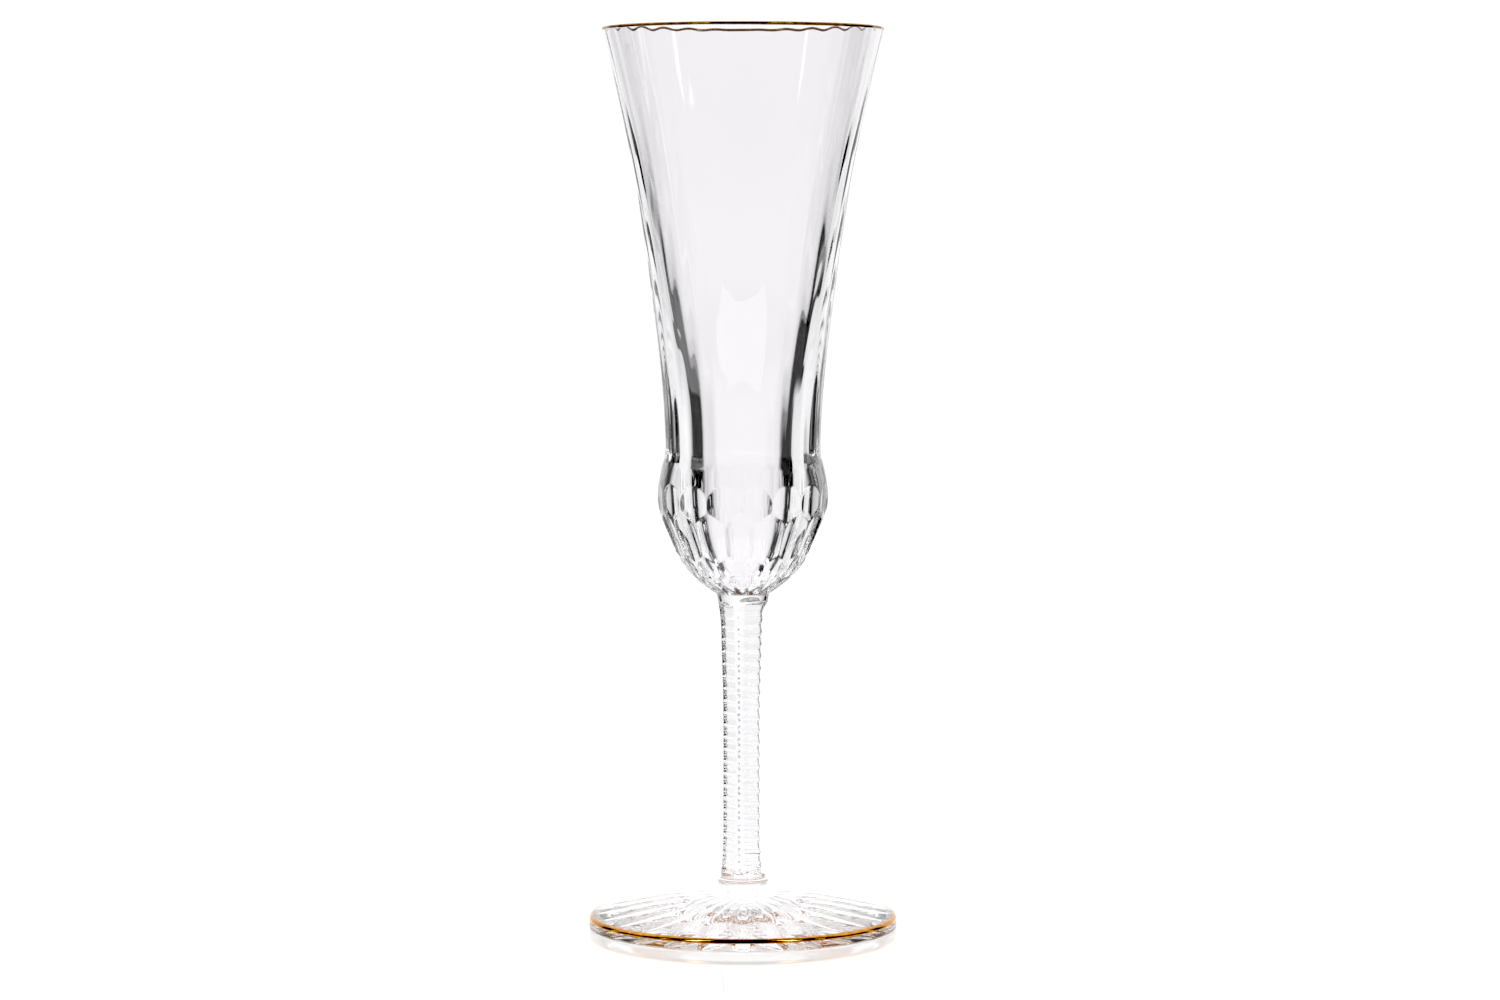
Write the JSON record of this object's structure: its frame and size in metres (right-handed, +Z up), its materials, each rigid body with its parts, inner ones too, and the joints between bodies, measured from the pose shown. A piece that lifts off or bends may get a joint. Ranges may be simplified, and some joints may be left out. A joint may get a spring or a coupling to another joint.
{
  "type": "champagne flute",
  "caption": "Tall champagne flute in heavy cut crystal with a fluted flared wall, oval-cut bulb, scale-cut stem, rayed foot and thin gold lines at lip and foot.",
  "frame": {"origin": "centre of the circle that the foot stands on", "axes": "+Z up along the stem; the glass is round, so +X is free and is set on the middle of one column of scales on the stem"},
  "size_m": [0.0738, 0.0738, 0.215],
  "materials": {
    "crystal": "clear, polished",
    "gold": null
  },
  "bodies": {
    "root": {"bowl": "crystal", "stem": "crystal", "stem_collar": "crystal", "foot": "crystal", "rim_gilding": "gold", "foot_gilding": "gold"}
  },
  "joints": []
}
